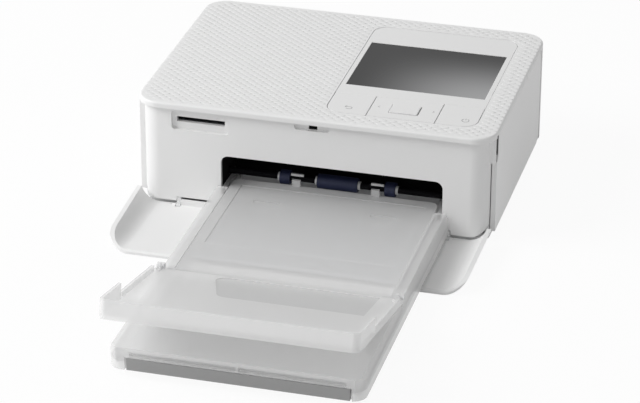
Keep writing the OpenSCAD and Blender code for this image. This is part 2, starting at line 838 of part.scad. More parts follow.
module feed_guide() {
    cheek = 1.5;
    y0 = base_front;
    y1 = capstan_y - 5.5;
    half = mouth_w / 2 + 0.1;
    ceiling = mouth_z + 1;
    color(black) {
        for (s = [0, 1]) side_view(mouth_x - half - cheek + s * (2 * half + cheek),
            mouth_x - half + s * (2 * half + cheek)) difference() {
                translate([y0, base_top]) square([y1 - y0, ceiling + 1.6 - base_top]);
                translate([feed_y, feed_z]) circle(shaft_r + 0.4);
            }
        block(mouth_x - half - 0.01, mouth_x + half + 0.01, y0, y1, ceiling, ceiling + 1.6);
        side_view(mouth_x - half - 0.01, mouth_x + half + 0.01)
            polygon([[cas_rear + 1, base_top], [y1, base_top], [y1, path_z - 1.4],
                [y1 - 2, path_z - 1.4], [cas_rear + 1, cas_top - 3]]);
        block(mouth_x - half - 0.01, mouth_x + half + 0.01, cas_rear + 5, cas_rear + 8,
            path_z + 1.6, path_z + 3.2);
    }
}

module guide_arms() {
    y0 = feed_y - 2.1;
    z0 = feed_z + 1.9;
    y1 = cas_rear + 5;
    z1 = path_z + 3.2;
    color(black) for (s = [-1, 1]) {
        side_view(mouth_x + s * 20.6 - 1.6, mouth_x + s * 20.6 + 1.6)
            polygon([[y0 + 1.1, z0], [y0 + 4, z0], [y1, z1 - 1.4], [y1, z1],
                [y0 + 6, z0 + 2.2], [y0 + 1.1, z0 + 1.3]]);
    }
}

// Smooth nose pieces on the guide arms
module guide_tips() {
    y0 = feed_y - 2.1;
    z0 = feed_z + 1.9;
    color([0.95, 0.95, 0.95]) for (s = [-1, 1])
        block(mouth_x + s * 20.6 - 3.3, mouth_x + s * 20.6 + 3.3, y0, y0 + 1.1, z0, z0 + 1.3);
}

module pickup_shaft() {
    color(black) rod(gear_x - 0.5, frame_r + frame_t + 1.5, feed_y, feed_z, shaft_r);
}

module sleeve(x, w, r) {
    difference() {
        rod(x - w / 2, x + w / 2, feed_y, feed_z, r);
        rod(x - w, x + w, feed_y, feed_z, shaft_r + fit);
    }
}

module pickup_rollers() {
    color([0.1, 0.12, 0.2]) {
        sleeve(mouth_x, wide_w, feed_r);
        for (s = [-1, 1]) sleeve(mouth_x + s * narrow_x, narrow_w, feed_r);
    }
}

module roller_collars() {
    w = 1.2;
    color([0.95, 0.95, 0.95]) for (s = [-1, 1]) {
        sleeve(mouth_x + s * (wide_w / 2 + w / 2 + 0.05), w, 2.2);
        sleeve(mouth_x + s * (narrow_x + narrow_w / 2 + w / 2 + 0.05), w, 2.2);
    }
}

module pickup_gear() {
    color([0.9, 0.9, 0.88])
        spur(pickup_n, pickup_turn, gear_x, gear_w, feed_y, feed_z, shaft_r + fit);
}

module idler_gear() {
    color([0.9, 0.9, 0.88])
        spur(idler_n, idler_gear_turn, gear_x, gear_w, idler_y, idler_z, 1.5 + run);
}

module capstan_roller() {
    color(steel) {
        rod(mouth_x - roller_half, mouth_x + roller_half, capstan_y, capstan_z, capstan_r);
        rod(gear_x - 0.5, frame_r + frame_t + 1.5, capstan_y, capstan_z, axle_r);
    }
}

module capstan_gear() {
    color([0.9, 0.9, 0.88])
        spur(capstan_n, 0, gear_x, gear_w, capstan_y, capstan_z, axle_r + fit);
}

module pinch_roller() {
    color([0.2, 0.2, 0.22]) {
        rod(mouth_x - roller_half, mouth_x + roller_half, capstan_y, pinch_z, pinch_r);
        rod(frame_l - frame_t - 0.6, frame_r + frame_t + 0.6, capstan_y, pinch_z, 1.5);
    }
}

module platen_roller() {
    color([0.12, 0.12, 0.13]) {
        rod(mouth_x - roller_half, mouth_x + roller_half, platen_y, platen_z, platen_r);
        rod(frame_l - frame_t - 0.6, frame_r + frame_t + 0.6, platen_y, platen_z, axle_r);
    }
}

module rear_paper_guide() {
    half = slit_half + 1;
    y0 = platen_y + 8;
    color(black) {
        block(mouth_x - half, mouth_x + half, y0, back_y, slit_low - 1, slit_low);
        for (x = [-40, 0, 40]) block(mouth_x + x - 1, mouth_x + x + 1, y0 + 2, back_y - 4,
            base_top, slit_low - 0.9);
    }
}

module print_head() {
    color([0.75, 0.76, 0.78]) {
        block(mouth_x - roller_half, mouth_x + roller_half, head_y0, head_y1,
            head_z + 2, arm_top - 3);
        block(mouth_x - roller_half, mouth_x + roller_half, platen_y - 1.5, platen_y + 2.5,
            head_z, head_z + 2.1);
    }
}

module head_arm() {
    inner = arm_top - 1.2;
    color(steel) difference() {
        union() {
            block(mouth_x - 51, mouth_x + 51, head_y0, head_y1, arm_top - 3, arm_top);
            for (s = [-1, 1]) side_view(mouth_x + s * 50.2 - 0.8, mouth_x + s * 50.2 + 0.8)
                polygon([[head_y0, arm_top - 3], [head_y1, arm_top - 3], [head_y1, inner],
                    [head_pivot_y - 7, inner], [head_pivot_y - 5, head_pivot_z + 6],
                    [head_pivot_y - 3, head_pivot_z - 3], [head_pivot_y + 4, head_pivot_z - 3],
                    [head_pivot_y + 4, head_pivot_z + 2], [head_pivot_y - 2, arm_top],
                    [head_y0, arm_top]]);
        }
        rod(mouth_x - 60, mouth_x + 60, head_pivot_y, head_pivot_z, axle_r + run);
    }
}

module head_pivot_shaft() {
    color(steel) rod(frame_l - frame_t - 1, frame_r + frame_t + 1, head_pivot_y,
        head_pivot_z, axle_r);
}

// Ribbon cassette: two tubes between end plates, with a grip on the right
module ribbon_tube(y) {
    difference() {
        rod(tube_x0, tube_x1, y, take_up_z, tube_r);
        rod(tube_x0 + 2, tube_x1 - 2, y, take_up_z, tube_r - tube_wall);
    }
}

module ribbon_case() {
    grip_x = side_x - side_t - side_room;
    color([0.25, 0.26, 0.28]) difference() {
        union() {
            ribbon_tube(take_up_y);
            ribbon_tube(supply_y);
            for (x = [tube_x0, tube_x1 - 2]) block(x, x + 2, take_up_y - 4, supply_y + 4,
                link_z, link_z + link_h);
            block(tube_x1 - 0.01, grip_x, take_up_y - 8, supply_y + 8, link_z, take_up_z + 8);
        }
        block(tube_x0 + 2, tube_x1 - 2, take_up_y + 1, supply_y - 1,
            link_z + link_h, take_up_z - 4.8);
        block(tube_x1 + 1.5, grip_x - 1.5, take_up_y - 6.5, supply_y + 6.5,
            link_z - 1, take_up_z + 6.5);
        for (y = [take_up_y, supply_y])
            rod(tube_x0 - 1, tube_x1 + 1, y, take_up_z, 2.5 + run);
    }
}

module spool(y, wound, x0) {
    rod(x0, tube_x1 + 0.6, y, take_up_z, 2.5);
    rod(mouth_x - slit_half, mouth_x + slit_half, y, take_up_z, wound);
    for (x = [tube_x0 + 3, tube_x1 - 4]) rod(x, x + 1, y, take_up_z, tube_r - tube_wall - 0.8);
}

module supply_spool() {
    color([0.15, 0.13, 0.16]) spool(supply_y, 7, tube_x0 - 0.6);
}

module take_up_spool() {
    cup = tube_x0 - 3.4;
    color([0.15, 0.13, 0.16]) {
        spool(take_up_y, 4.5, tube_x0 - 0.4);
        difference() {
            rod(cup, tube_x0 - 0.3, take_up_y, take_up_z, 3.4);
            rod(cup - 1, tube_x0 - 0.6, take_up_y, take_up_z, 2.6);
        }
        for (s = [-1, 1]) block(cup, tube_x0 - 0.3, take_up_y - 0.5, take_up_y + 0.5,
            take_up_z + s * 2 - 0.8, take_up_z + s * 2 + 0.8);
    }
}

module ink_ribbon() {
    t = 0.2;
    z1 = take_up_z - 7.1;
    z2 = take_up_z - 4.6;
    color([0.35, 0.2, 0.3]) side_view(mouth_x - slit_half, mouth_x + slit_half)
        polygon([[supply_y - 1.5, z1], [platen_y + 8.5, film_z], [platen_y - 6.5, film_z],
            [take_up_y + 1, z2 - 0.1], [take_up_y + 1, z2 - 0.1 - t],
            [platen_y - 6.5, film_z - t], [platen_y + 8.5, film_z - t],
            [supply_y - 1.5, z1 - t]]);
}

module take_up_drive() {
    color([0.9, 0.9, 0.88]) {
        spur(take_up_n, take_up_turn, gear_x, gear_w, take_up_y, take_up_z, 0.8);
        difference() {
            rod(gear_x + gear_w - 0.01, frame_l + 0.4, take_up_y, take_up_z, 3);
            rod(gear_x, frame_l + 1, take_up_y, take_up_z, 0.8);
        }
        block(frame_l + 0.39, tube_x0 - 1, take_up_y - 2.2, take_up_y + 2.2,
            take_up_z - 0.7, take_up_z + 0.7);
    }
}

motor_x = frame_l - 12;

module drive_motor() {
    color(steel) difference() {
        union() {
            rod(side_t + side_room - side_x, motor_x, pinion_y, pinion_z, 9.5);
            rod(motor_x - 0.5, motor_x + 0.8, pinion_y, pinion_z, 3);
        }
        rod(motor_x - 5, motor_x + 2, pinion_y, pinion_z, 1 + run);
    }
}

module motor_pinion() {
    color([0.8, 0.66, 0.3]) {
        spur(pinion_n, pinion_turn, gear_x, gear_w, pinion_y, pinion_z, 1);
        rod(motor_x - 4.8, gear_x + gear_w + 0.5, pinion_y, pinion_z, 1);
    }
}

module motor_bracket() {
    stud_y = pinion_y + 8.8;
    color(steel) {
        side_view(motor_x, motor_x + 1) difference() {
            translate([pinion_y - 10.5, base_top]) square([21.5, pinion_z - base_top + 10.5]);
            translate([pinion_y, pinion_z]) circle(3 + fit);
        }
        for (z = [pinion_z - 7.5, pinion_z + 8])
            rod(motor_x + 0.9, frame_l - frame_t, stud_y, z, 1.6);
    }
}

module main_board() {
    x0 = main_x0 + 25.3;
    color([0.1, 0.35, 0.2]) difference() {
        union() {
            block(main_x0, main_x1, 12, main_back, main_z, main_z + board_t);
            block(main_x1 - 40, main_x1 - 2, main_back - 1, back_y - 1, main_z, main_z + board_t);
            block(x0, x0 + 16, 50, 66, main_z + board_t - 0.01, main_z + board_t + 1.4);
            block(x0 + 22, x0 + 34, 52, 64, main_z + board_t - 0.01, main_z + board_t + 1.2);
            block(x0 + 26, x0 + 38, 84, 92, main_z + board_t - 0.01, main_z + board_t + 2.2);
        }
        for (p = case_posts) post(p[0], p[1], 0, body_h, post_r + 0.6);
    }
}

module card_connector() {
    half = card_w / 2 + 1.5;
    y0 = recess_y + 2.2;
    color(steel) difference() {
        block(-card_x - half, -card_x + half, y0, y0 + 30, slot_z - card_h / 2 - 0.7, main_z);
        block(-card_x - card_w / 2, -card_x + card_w / 2, y0 - 1, y0 + 28,
            slot_z - card_h / 2, slot_z + card_h / 2);
    }
}

module dc_jack() {
    z = main_z - 6.6;
    color(black) difference() {
        block(jack_x - 4.6, jack_x + 4.6, back_y - 12, body_d - 1.4, main_z - 11.2, main_z - 2);
        translate([jack_x, body_d, z]) rotate([90, 0, 0]) cylinder(h = 10, r = 2.75);
    }
    color(steel) translate([jack_x, body_d - 2, z]) rotate([90, 0, 0]) cylinder(h = 9, r = 0.8);
    color(black) block(jack_x - 4.6, jack_x + 4.6, back_y - 12, back_y - 1.2, main_z - 3, main_z);
}

module usb_port() {
    color(steel) difference() {
        block(port_x - 4, port_x + 4, back_y - 9, body_d - 1.6, main_z - 4.8, main_z - 1);
        block(port_x - 3.6, port_x + 3.6, back_y - 6, body_d, main_z - 4.4, main_z - 1.4);
    }
    color(black) {
        block(port_x - 2.6, port_x + 2.6, back_y - 7, body_d - 2.4, main_z - 3.4, main_z - 2.4);
        block(port_x - 4, port_x + 4, back_y - 9, back_y - 1.2, main_z - 1.1, main_z);
    }
}

module fan_frame() {
    y0 = back_y - 8;
    color(black) {
        difference() {
            block(fan_x - fan_size / 2, fan_x + fan_size / 2, y0, back_y,
                fan_z - fan_size / 2, fan_z + fan_size / 2);
            translate([fan_x, back_y + 1, fan_z]) rotate([90, 0, 0]) cylinder(h = 10, r = fan_bore);
        }
        difference() {
            union() {
                translate([fan_x, y0 + 2, fan_z]) rotate([90, 0, 0]) cylinder(h = 2, r = 5);
                for (i = [0 : 2]) translate([fan_x, y0, fan_z]) rotate([0, i * 120, 0])
                    translate([-0.9, 0, 3]) cube([1.8, 1.5, fan_bore - 2.5]);
            }
            translate([fan_x, y0 + 3, fan_z]) rotate([90, 0, 0]) cylinder(h = 4, r = 1 + run);
        }
    }
}

module fan_impeller() {
    y0 = back_y - 8;
    color([0.12, 0.12, 0.13]) {
        translate([fan_x, y0 + 7, fan_z]) rotate([90, 0, 0]) cylinder(h = 4.5, r = 4.8);
        translate([fan_x, y0 + 3, fan_z]) rotate([90, 0, 0]) cylinder(h = 2.8, r = 1);
        for (i = [0 : 6]) translate([fan_x, y0 + 4.7, fan_z]) rotate([0, i * 360 / 7, 0])
            rotate([0, 0, 35]) translate([-0.4, -1.6, 4]) cube([0.8, 3.2, fan_bore - 4.6]);
    }
}

// Plan of the cassette, drawn in by an inset
module cassette_plan(inset = 0) {
    r = cas_r - inset;
    translate([mouth_x - cas_half + inset, cas_front + cas_r])
        square([2 * (cas_half - inset), cas_l - cas_r - inset]);
    translate([mouth_x - cas_half + cas_r, cas_front + inset])
        square([2 * (cas_half - cas_r), cas_r]);
    for (s = [-1, 1]) translate([mouth_x + s * (cas_half - cas_r), cas_front + cas_r]) circle(r);
    translate([mouth_x - neck_half + inset, cas_back - 4])
        square([2 * (neck_half - inset), neck_l + 4 - inset]);
}

module bar_recess() {
    x = mouth_x + front_shift;
    block(x - bar_half - 0.8, x + bar_half + 0.8, cas_front - 1, cas_front + 1.8,
        0, cas_z + bar_h + 0.3);
}

module cassette_tray() {
    color([0.72, 0.73, 0.74]) difference() {
        union() {
            slab(cas_z, tray_top) difference() {
                cassette_plan();
                cassette_plan(cas_wall);
            }
            slab(cas_z, cas_floor) cassette_plan(0.5);
            slab(cas_z, tray_top) translate([mouth_x - cas_half + 4, cas_front + 1])
                square([cas_w - 8, 3]);
        }
        bar_recess();
    }
}

module cassette_frame() {
    rail_half = inner_half + 0.3;
    deck_y = inner_y0 - 0.4;
    slot_half = paper_w / 2 + 0.4;
    color(frosted) {
        difference() {
            union() {
                slab(tray_top, cas_top - 0.8) difference() {
                    cassette_plan();
                    cassette_plan(cas_wall);
                }
                slab(tray_top, cas_top) translate([mouth_x - cas_half + 4, cas_front])
                    square([cas_w - 8, 3.5]);
                slab(cas_top - 3, cas_top) difference() {
                    intersection() {
                        cassette_plan();
                        translate([mouth_x - cas_half, cas_front]) square([cas_w, cas_l]);
                    }
                    translate([mouth_x - rail_half, deck_y])
                        square([2 * rail_half, cas_l]);
                }
                for (s = [-1, 1]) block(mouth_x + s * (well_half + 1.1) - 1.1,
                    mouth_x + s * (well_half + 1.1) + 1.1, deck_y - 40, cas_rear - 2,
                    cas_floor, cas_top - 2.8);
                for (s = [-1, 1]) side_view(mouth_x + s * (cas_half - 0.9) - 0.8,
                    mouth_x + s * (cas_half - 0.9) + 0.8) {
                        translate([flap_hinge_y, flap_hinge_z]) circle(flap_ear_r);
                        translate([flap_hinge_y - flap_ear_r, cas_top - 3])
                            square([2 * flap_ear_r, flap_hinge_z - cas_top + 3]);
                    }
            }
            difference() {
                for (s = [-1, 1]) front_view(cas_front - 1, cas_back + 1)
                    polygon([[mouth_x + s * (cas_half + 1), cas_top - 4.2],
                        [mouth_x + s * (cas_half - 1.6), cas_top + 0.01],
                        [mouth_x + s * (cas_half + 1), cas_top + 0.01]]);
                block(-side_x, side_x, flap_hinge_y - flap_ear_r, flap_hinge_y + flap_ear_r,
                    0, body_h);
            }
            bar_recess();
            for (s = [0, 1]) block(mouth_x + front_shift - slot_half + s * (slot_half + 0.6),
                mouth_x + front_shift - 0.6 + s * (slot_half + 0.6), cas_front - 1,
                cas_front + 2.4, cas_top - 4.4, cas_top - 2);
            rod(mouth_x - well_half - 6, mouth_x + well_half + 6, inner_hinge_y, inner_hinge_z,
                inner_pin_r + fit);
            rod(mouth_x - cas_w, mouth_x + cas_w, flap_hinge_y, flap_hinge_z, flap_pin_r + fit);
            rod(mouth_x - well_half - 2.5, mouth_x + well_half + 2.5, lift_hinge_y, lift_hinge_z,
                0.8 + run);
            block(mouth_x - well_half, mouth_x + well_half, cas_rear - 2.2, cas_rear + 1,
                cas_top - 2.8, body_h);
            block(mouth_x - cas_w, mouth_x + cas_w, feed_y - shaft_r - 2, cas_rear + 1,
                cas_top - 1, body_h);
        }
    }
}

module cassette_front_bar() {
    x = mouth_x + front_shift;
    color([0.42, 0.42, 0.44]) block(x - bar_half, x + bar_half, cas_front,
        cas_front + 1.8, cas_z, cas_z + bar_h);
}

function half_ellipse(a, b, n) = [for (i = [0 : n]) [a * cos(180 * i / n), -b * sin(180 * i / n)]];

module cassette_inner_cover() {
    r = 4;
    step_y = -57;
    tab_x = 20.3;
    color(frosted) difference() {
        union() {
            slab(inner_z0, inner_z1) {
                translate([mouth_x - inner_half, inner_y0])
                    square([2 * inner_half, inner_y1 - inner_y0 - r]);
                translate([mouth_x - inner_half + r, inner_y0])
                    square([2 * (inner_half - r), inner_y1 - inner_y0]);
                for (s = [-1, 1]) translate([mouth_x + s * (inner_half - r), inner_y1 - r])
                    circle(r);
            }
            for (s = [-1, 1]) {
                block(mouth_x + s * tab_x - 2.1, mouth_x + s * tab_x + 2.1, inner_y1 - 1.3,
                    inner_y1, inner_z0, inner_z1 + 3.6);
                rod(mouth_x + s * (well_half - 2) - 1.7, mouth_x + s * (well_half - 2) + 1.7,
                    inner_hinge_y, inner_hinge_z, 1.6);
            }
        }
        block(mouth_x - 47, mouth_x + 47, step_y, inner_y1 - 6, inner_z1 - 0.4, body_h);
        for (s = [-1, 1]) slab(inner_z1 - 0.8, body_h)
            translate([mouth_x + s * 29.8, inner_y1 - 20]) polygon(half_ellipse(6.8, 9, 24));
        rod(mouth_x - cas_w, mouth_x + cas_w, inner_hinge_y, inner_hinge_z, inner_pin_r + run);
    }
}

function arc(x, y, r, a, b, n = 6) =
    [for (i = [0 : n]) let (t = a + (b - a) * i / n) [x + r * cos(t), y + r * sin(t)]];

// Shallow pocket in the outer cover's floor, with a slanting left end
module flap_pocket() {
    r = 5;
    y0 = -36;
    y1 = -4.5;
    lean = 17.6;
    c0 = -30 + (y1 - y0 - r) * tan(lean) + r / cos(lean);
    c1 = -30 + r * tan(lean) + r / cos(lean);
    polygon(concat(arc(c1, y1 - r, r, 90, 180 + lean), arc(c0, y0 + r, r, 180 + lean, 270),
        [[paper_w / 2 - 0.5, y0], [paper_w / 2 - 0.5, y1]]));
}

// Outer cover, drawn flat about its hinge and then tilted
module cassette_outer_cover() {
    r = 3.5;
    wall_start = -9;
    notch = -57.6;
    notch_w = 1.2;
    low_rim = 2.8;
    floor_z = flap_low + flap_floor;
    color(frosted) translate([mouth_x, flap_hinge_y, flap_hinge_z]) rotate([-flap_tilt, 0, 0])
    difference() {
        union() {
            slab(flap_low, floor_z) flap_plan();
            slab(flap_low, floor_z + rim_h) difference() {
                flap_plan();
                flap_plan(flap_wall);
                translate([-cas_w, notch - notch_w]) square([2 * cas_w, 2 * cas_l]);
            }
            for (s = [-1, 1]) {
                slab(flap_low, floor_z + low_rim)
                    translate([s * (flap_half - flap_wall / 2) - flap_wall / 2, notch])
                        square([flap_wall, wall_start - notch]);
                rod(s * knuckle_x - knuckle_t / 2, s * knuckle_x + knuckle_t / 2, 0, 0,
                    flap_ear_r);
                block(s * knuckle_x - knuckle_t / 2, s * knuckle_x + knuckle_t / 2, -9, 0,
                    flap_low, 1.2);
            }
            for (x = [-40.8, 34.5, 41.7]) block(x - 0.4, x + 0.4, -flap_l + flap_wall - 0.01,
                -flap_l + flap_wall + 0.6, floor_z - 0.01, floor_z + rim_h);
        }
        slab(floor_z - 0.5, body_h) flap_pocket();
        rod(-cas_w, cas_w, 0, 0, flap_pin_r + run);
    }
}

module flap_plan(inset = 0) {
    r = 3.5;
    translate([-flap_half + inset, -flap_l + r])
        square([2 * (flap_half - inset), flap_l - r - 2.8]);
    translate([-flap_half + r, -flap_l + inset]) square([2 * (flap_half - r), r]);
    for (s = [-1, 1]) translate([s * (flap_half - r), -flap_l + r]) circle(r - inset);
}

module cassette_hinge_pins() {
    color(steel) for (s = [-1, 1]) {
        rod(mouth_x + s * (cas_half - 1.9) - 1.7, mouth_x + s * (cas_half - 1.9) + 1.7,
            flap_hinge_y, flap_hinge_z, flap_pin_r);
        rod(mouth_x + s * (well_half + 1) - 4.2, mouth_x + s * (well_half + 1) + 4.2,
            inner_hinge_y, inner_hinge_z, inner_pin_r);
    }
}

module lift_plate() {
    half = well_half - 1.2;
    color(steel) {
        block(mouth_x - half, mouth_x + half, lift_hinge_y, cas_rear - 4,
            lift_hinge_z - 0.6, lift_hinge_z - 0.6 + lift_t);
        rod(mouth_x - half, mouth_x + half, lift_hinge_y, lift_hinge_z, 1.1);
        rod(mouth_x - well_half - 2, mouth_x + well_half + 2, lift_hinge_y, lift_hinge_z, 0.8);
    }
}

module lift_springs() {
    z1 = lift_hinge_z - 0.7;
    color(steel) for (s = [-1, 1]) side_view(mouth_x + s * 25 - 4, mouth_x + s * 25 + 4)
        polygon([[-34, cas_floor], [-20, cas_floor], [8, z1 - 0.2], [8, z1],
            [-20, cas_floor + 0.2], [-34, cas_floor + 0.2]]);
}

place() top_cover();
place() control_panel();
place() front_panel();
place() left_side_panel();
place() back_panel();
place() base_tray();
place() ink_door();
place() ink_door_pins();
place() front_cover();
place() front_cover_pins();
place() rubber_feet();
place() case_screws();
place() screen_window();
place() lcd_module();
place() menu_key();
place() power_key();
place() ok_key();
place() navigation_pad();
place() navigation_rocker();
place() key_board();
place() left_frame();
place() right_frame();
place() feed_guide();
place() guide_arms();
place() guide_tips();
place() pickup_shaft();
place() pickup_rollers();
place() roller_collars();
place() pickup_gear();
place() idler_gear();
place() capstan_roller();
place() capstan_gear();
place() pinch_roller();
place() platen_roller();
place() rear_paper_guide();
place() print_head();
place() head_arm();
place() head_pivot_shaft();
place() ribbon_case();
place() supply_spool();
place() take_up_spool();
place() ink_ribbon();
place() take_up_drive();
place() drive_motor();
place() motor_pinion();
place() motor_bracket();
place() main_board();
place() card_connector();
place() dc_jack();
place() usb_port();
place() fan_frame();
place() fan_impeller();
place() cassette_tray();
place() cassette_frame();
place() cassette_front_bar();
place() cassette_inner_cover();
place() cassette_outer_cover();
place() cassette_hinge_pins();
place() lift_plate();
place() lift_springs();
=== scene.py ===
import json
import math

import bmesh
import bpy
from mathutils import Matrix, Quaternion, Vector


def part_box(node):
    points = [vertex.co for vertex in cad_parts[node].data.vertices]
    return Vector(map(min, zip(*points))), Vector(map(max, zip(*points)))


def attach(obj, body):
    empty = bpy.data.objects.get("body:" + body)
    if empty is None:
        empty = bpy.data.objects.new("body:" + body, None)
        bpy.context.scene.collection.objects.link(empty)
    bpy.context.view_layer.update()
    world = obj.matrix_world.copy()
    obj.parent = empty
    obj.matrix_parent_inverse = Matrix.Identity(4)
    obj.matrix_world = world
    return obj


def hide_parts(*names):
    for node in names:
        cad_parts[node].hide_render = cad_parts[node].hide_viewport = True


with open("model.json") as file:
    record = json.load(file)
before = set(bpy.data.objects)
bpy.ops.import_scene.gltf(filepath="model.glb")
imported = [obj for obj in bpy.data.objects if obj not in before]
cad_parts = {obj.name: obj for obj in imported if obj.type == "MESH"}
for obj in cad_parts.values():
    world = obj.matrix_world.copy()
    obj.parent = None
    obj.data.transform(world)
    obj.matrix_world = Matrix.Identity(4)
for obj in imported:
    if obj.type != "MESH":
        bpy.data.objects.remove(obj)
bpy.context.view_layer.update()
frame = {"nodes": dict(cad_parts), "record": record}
nodes = frame["nodes"]
print("frame loaded:", len(nodes), "nodes")

mm = 0.001
weldGap = 0.002 * mm    # points of a mesh closer than this become one


# small helpers for node trees
def addNode(tree, kind, inputs=None, **settings):
    made = tree.nodes.new(kind)
    for key, value in settings.items():
        setattr(made, key, value)
    for key, value in (inputs or {}).items():
        if isinstance(value, bpy.types.NodeSocket):
            tree.links.new(value, made.inputs[key])
        else:
            made.inputs[key].default_value = value
    return made


def calculate(tree, operation, *values):
    # a number from up to three numbers
    return addNode(tree, "ShaderNodeMath", dict(enumerate(values)),
                   operation=operation).outputs["Value"]


def combine(tree, operation, *vectors):
    # a vector from one or two vectors
    return addNode(tree, "ShaderNodeVectorMath", dict(enumerate(vectors)),
                   operation=operation).outputs["Vector"]


def scaled(tree, vector, factor):
    return addNode(tree, "ShaderNodeVectorMath", {0: vector, "Scale": factor},
                   operation="SCALE").outputs["Vector"]


def spread(tree, value, low, high, fromLow=0.3, fromHigh=0.7):
    # a value carried to the range low..high; noise lies between 0.3 and 0.7
    return addNode(tree, "ShaderNodeMapRange", {"Value": value, "From Min": fromLow,
        "From Max": fromHigh, "To Min": low, "To Max": high}).outputs["Result"]


def tinted(tree, colour, factor):
    # a colour times a grey factor
    return addNode(tree, "ShaderNodeMix", {"Factor": 1.0, 6: colour, 7: factor},
                   data_type="RGBA", blend_type="MULTIPLY").outputs[2]


def newMaterial(name):
    material = bpy.data.materials.new(name)
    material.use_nodes = True
    return material, material.node_tree, material.node_tree.nodes["Principled BSDF"]


def objectPlace(tree):
    return addNode(tree, "ShaderNodeTexCoord").outputs["Object"]


def addBump(tree, shader, height, strength, depth):
    bump = addNode(tree, "ShaderNodeBump", {"Height": height, "Strength": strength,
        "Distance": depth * mm})
    tree.links.new(bump.outputs["Normal"], shader.inputs["Normal"])


moulded = {    # what all the moulded plastics share
    "broadScale": 22.0,    # of the slow change of shade
    "roughnessRange": 0.05,
    "bump": 0.6,
    "ior": 1.49,
}


def plastic(name, colour, roughness=0.4, grain=0.5, depth=0.02, tone=0.03, specular=0.5):
    # grain and depth in mm, tone is the slow change of shade
    material, tree, shader = newMaterial(name)
    place = objectPlace(tree)
    fine = addNode(tree, "ShaderNodeTexNoise", {"Vector": place,
        "Scale": 1 / (grain * mm), "Detail": 3.0, "Roughness": 0.6}).outputs["Fac"]
    broad = addNode(tree, "ShaderNodeTexNoise", {"Vector": place,
        "Scale": moulded["broadScale"], "Detail": 2.0}).outputs["Fac"]
    shade = spread(tree, broad, 1 - tone, 1.0)
    tree.links.new(tinted(tree, (*colour, 1.0), shade), shader.inputs["Base Color"])
    gloss = spread(tree, fine, roughness - moulded["roughnessRange"],
                   roughness + moulded["roughnessRange"])
    tree.links.new(gloss, shader.inputs["Roughness"])
    addBump(tree, shader, fine, moulded["bump"], depth)
    shader.inputs["Specular IOR Level"].default_value = specular
    shader.inputs["IOR"].default_value = moulded["ior"]
    return material


def frosted(name, colour, opacity):
    # frosted see-through plastic: opacity is that of one face, and a wall has two
    material = plastic(name, colour, 0.34, 0.5, 0.004, 0.02)
    shader = material.node_tree.nodes["Principled BSDF"]
    shader.inputs["Alpha"].default_value = opacity
    return material


brushed = {    # what all the metals share
    "depth": 0.004,    # mm
    "bump": 0.5,
    "darkest": 0.9,
    "roughnessRange": 0.08,
}


def metal(name, colour, roughness, scratch, scale):
    # metal with fine lines: scratch stretches the pattern along the axes
    material, tree, shader = newMaterial(name)
    turned = addNode(tree, "ShaderNodeMapping", {"Vector": objectPlace(tree),
        "Scale": scratch})
    fine = addNode(tree, "ShaderNodeTexNoise", {"Vector": turned.outputs["Vector"],
        "Scale": scale, "Detail": 4.0}).outputs["Fac"]
    shade = spread(tree, fine, brushed["darkest"], 1.0)
    tree.links.new(tinted(tree, (*colour, 1.0), shade), shader.inputs["Base Color"])
    gloss = spread(tree, fine, roughness - brushed["roughnessRange"],
                   roughness + brushed["roughnessRange"])
    tree.links.new(gloss, shader.inputs["Roughness"])
    addBump(tree, shader, fine, brushed["bump"], brushed["depth"])
    shader.inputs["Metallic"].default_value = 1.0
    return material


# one finish for each material slot of the record, as name, colour, roughness,
# grain and depth in mm, tone, specular
whiteClear = (0.96, 0.96, 0.96)
finishes = {
    "white_casing": plastic("whiteCasing", (0.87, 0.87, 0.868), 0.42, 0.35, 0.006, 0.012),
    "base_plastic": plastic("basePlastic", (0.78, 0.785, 0.785), 0.5, 0.4, 0.01),
    "control_plastic": plastic("controlPlastic", (0.84, 0.84, 0.838), 0.34, 0.5, 0.003,
                               0.01),
    "dark_electronics": plastic("blackPlastic", (0.022, 0.022, 0.025), 0.4, 0.4, 0.02),
    "gear_plastic": plastic("gearPlastic", (0.8, 0.8, 0.76), 0.35, 0.6, 0.01),
    "collar_plastic": plastic("collarPlastic", (0.84, 0.84, 0.84), 0.35, 0.6, 0.008),
    "roller_rubber": plastic("rollerRubber", (0.014, 0.02, 0.06), 0.6, 0.25, 0.03, 0.1),
    "roller_dark": plastic("blackRubber", (0.012, 0.012, 0.013), 0.65, 0.25, 0.03, 0.1),
    "mouth_black": plastic("mouthBlack", (0.004, 0.004, 0.004), 0.7, 0.5, 0.02, 0.1, 0.15),
    "foot_rubber": plastic("footRubber", (0.02, 0.02, 0.02), 0.75, 0.3, 0.04, 0.1, 0.3),
    "ribbon_plastic": plastic("ribbonPlastic", (0.035, 0.038, 0.042), 0.4, 0.4, 0.015),
    "ribbon_film": plastic("ribbonFilm", (0.06, 0.012, 0.04), 0.15, 3.0, 0.01, 0.2),
    "cassette_frosted": frosted("frostedPlastic", whiteClear, 0.44),
    "cassette_grey": frosted("trayGrey", (0.94, 0.94, 0.94), 0.52),
    "shaft_black": plastic("blackenedSteel", (0.004, 0.004, 0.005), 0.75, 0.3, 0.01,
                           0.03, 0.1),
    "bar_grey": plastic("barGrey", (0.35, 0.35, 0.35), 0.45, 0.4, 0.01),
    "chassis_steel": metal("chassisSteel", (0.6, 0.61, 0.63), 0.35, (1, 1, 8), 300.0),
    "shaft_steel": metal("shaftSteel", (0.68, 0.69, 0.71), 0.2, (0.05, 1, 1), 900.0),
    "head_aluminium": metal("headAluminium", (0.72, 0.73, 0.74), 0.4, (0.1, 1, 1), 600.0),
    "brass": metal("brass", (0.72, 0.52, 0.2), 0.28, (0.2, 1, 1), 600.0),
}


